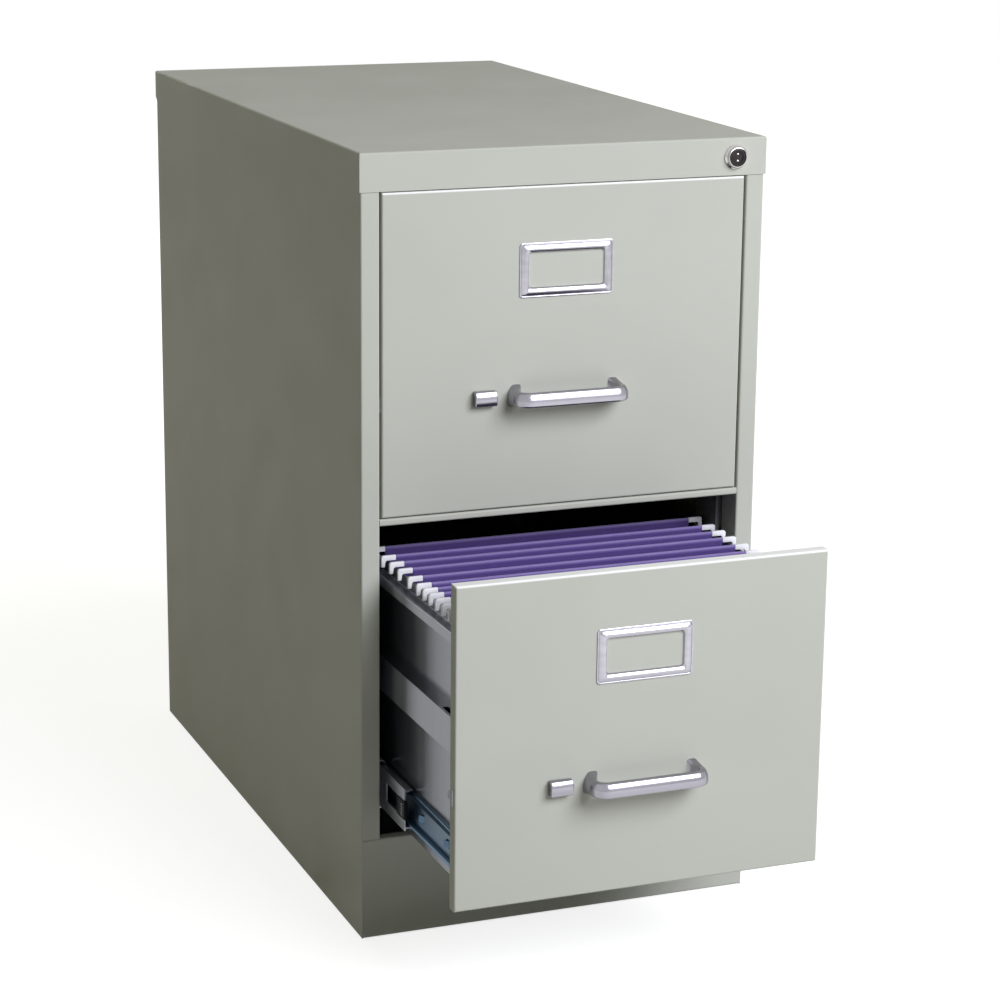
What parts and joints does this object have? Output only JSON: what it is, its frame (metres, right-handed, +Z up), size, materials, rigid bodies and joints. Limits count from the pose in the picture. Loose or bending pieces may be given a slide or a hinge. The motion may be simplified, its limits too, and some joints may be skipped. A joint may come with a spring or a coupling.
{
  "type": "vertical filing cabinet",
  "caption": "Tall narrow steel filing cabinet with stacked drawers on ball-bearing slides, bow handles, thumb latches, label frames, a lock, and hanging folders in the open lower drawer.",
  "frame": {"origin": "on the floor, under the middle of the case's footprint", "axes": "+X to the right seen from the front, +Y to the back, +Z up. The drawers come out towards -Y."},
  "size_m": [0.381, 0.884, 0.7112],
  "materials": {
    "body_paint": "satin",
    "inner_paint": "satin",
    "slide_steel": "satin",
    "bright_trim": "satin",
    "bumper_plastic": "matte",
    "lock_metal": "gloss",
    "spring_steel": "satin",
    "folder_paper": "matte",
    "hook_plastic": "matte"
  },
  "bodies": {
    "case": {"side_panel_left": "body_paint", "side_panel_right": "body_paint", "back_panel": "body_paint", "top_cover": "body_paint", "kick_plate": "body_paint", "front_rail": "body_paint", "top_rail": "body_paint", "base_brace": "inner_paint", "front_slide_posts": "inner_paint", "rear_slide_posts": "inner_paint", "lock_barrel": "lock_metal", "lock_nut": "lock_metal", "lock_bar_guides": "bumper_plastic", "upper_slide_case_members": "slide_steel", "lower_slide_case_members": "slide_steel"},
    "lock_plug": {"lock_plug": "lock_metal", "lock_cam": "slide_steel"},
    "lock_bar": {"lock_bar": "slide_steel"},
    "upper_drawer": {"upper_front": "body_paint", "upper_liner": "inner_paint", "upper_side_left": "inner_paint", "upper_side_right": "inner_paint", "upper_lock_catch": "slide_steel", "upper_floor": "inner_paint", "upper_back": "inner_paint", "upper_label_holder": "bright_trim", "upper_handle": "bright_trim", "upper_screws": "slide_steel", "upper_latch_guides": "bumper_plastic", "upper_latch_spring": "spring_steel", "upper_slide_drawer_members": "slide_steel"},
    "upper_latch": {"upper_latch_button": "bright_trim", "upper_latch_bolt": "slide_steel"},
    "upper_slide_middles": {"upper_slide_middle_members": "slide_steel", "upper_slide_bumpers": "bumper_plastic"},
    "upper_outer_cages": {"upper_slide_outer_cages": "slide_steel"},
    "upper_inner_cages": {"upper_slide_inner_cages": "slide_steel"},
    "lower_drawer": {"lower_front": "body_paint", "lower_liner": "inner_paint", "lower_side_left": "inner_paint", "lower_side_right": "inner_paint", "lower_lock_catch": "slide_steel", "lower_floor": "inner_paint", "lower_back": "inner_paint", "lower_label_holder": "bright_trim", "lower_handle": "bright_trim", "lower_screws": "slide_steel", "lower_latch_guides": "bumper_plastic", "lower_latch_spring": "spring_steel", "lower_slide_drawer_members": "slide_steel", "folders": "folder_paper", "folder_hangers": "hook_plastic"},
    "lower_latch": {"lower_latch_button": "bright_trim", "lower_latch_bolt": "slide_steel"},
    "lower_slide_middles": {"lower_slide_middle_members": "slide_steel", "lower_slide_bumpers": "bumper_plastic"},
    "lower_outer_cages": {"lower_slide_outer_cages": "slide_steel"},
    "lower_inner_cages": {"lower_slide_inner_cages": "slide_steel"}
  },
  "joints": [
    {"name": "lock_turn", "type": "hinge", "parent": "case", "child": "lock_plug", "pos_m": [0.1605, -0.3225, 0.694], "axis": [0, 1, 0], "range_deg": [0, 90]},
    {"name": "lock_bar_slide", "type": "slide", "parent": "case", "child": "lock_bar", "axis": [0, 0, -1], "range_m": [0, 0.008]},
    {"name": "upper_drawer_slide", "type": "slide", "parent": "case", "child": "upper_drawer", "axis": [0, -1, 0], "range_m": [0, 0.6]},
    {"name": "upper_slide_middles_run", "type": "slide", "parent": "case", "child": "upper_slide_middles", "axis": [0, -1, 0], "range_m": [0, 0.3]},
    {"name": "upper_outer_cages_run", "type": "slide", "parent": "case", "child": "upper_outer_cages", "axis": [0, -1, 0], "range_m": [0, 0.15]},
    {"name": "upper_inner_cages_run", "type": "slide", "parent": "case", "child": "upper_inner_cages", "axis": [0, -1, 0], "range_m": [0, 0.45]},
    {"name": "upper_latch_press", "type": "slide", "parent": "upper_drawer", "child": "upper_latch", "axis": [1, 0, 0], "range_m": [0, 0.005], "stiffness_N_per_m": 300, "springref_m": -0.01, "deforming": ["upper_latch_spring"]},
    {"name": "lower_drawer_slide", "type": "slide", "parent": "case", "child": "lower_drawer", "axis": [0, -1, 0], "range_m": [-0.184, 0.416]},
    {"name": "lower_slide_middles_run", "type": "slide", "parent": "case", "child": "lower_slide_middles", "axis": [0, -1, 0], "range_m": [-0.092, 0.208]},
    {"name": "lower_outer_cages_run", "type": "slide", "parent": "case", "child": "lower_outer_cages", "axis": [0, -1, 0], "range_m": [-0.046, 0.104]},
    {"name": "lower_inner_cages_run", "type": "slide", "parent": "case", "child": "lower_inner_cages", "axis": [0, -1, 0], "range_m": [-0.138, 0.312]},
    {"name": "lower_latch_press", "type": "slide", "parent": "lower_drawer", "child": "lower_latch", "axis": [1, 0, 0], "range_m": [0, 0.005], "stiffness_N_per_m": 300, "springref_m": -0.01, "deforming": ["lower_latch_spring"]}
  ],
  "couplings": [
    {"joint": "lock_turn", "follows": "lock_bar_slide", "rad_per_m": 196.35},
    {"joint": "upper_slide_middles_run", "follows": "upper_drawer_slide", "ratio": 0.5},
    {"joint": "upper_outer_cages_run", "follows": "upper_drawer_slide", "ratio": 0.25},
    {"joint": "upper_inner_cages_run", "follows": "upper_drawer_slide", "ratio": 0.75},
    {"joint": "lower_slide_middles_run", "follows": "lower_drawer_slide", "ratio": 0.5},
    {"joint": "lower_outer_cages_run", "follows": "lower_drawer_slide", "ratio": 0.25},
    {"joint": "lower_inner_cages_run", "follows": "lower_drawer_slide", "ratio": 0.75}
  ]
}
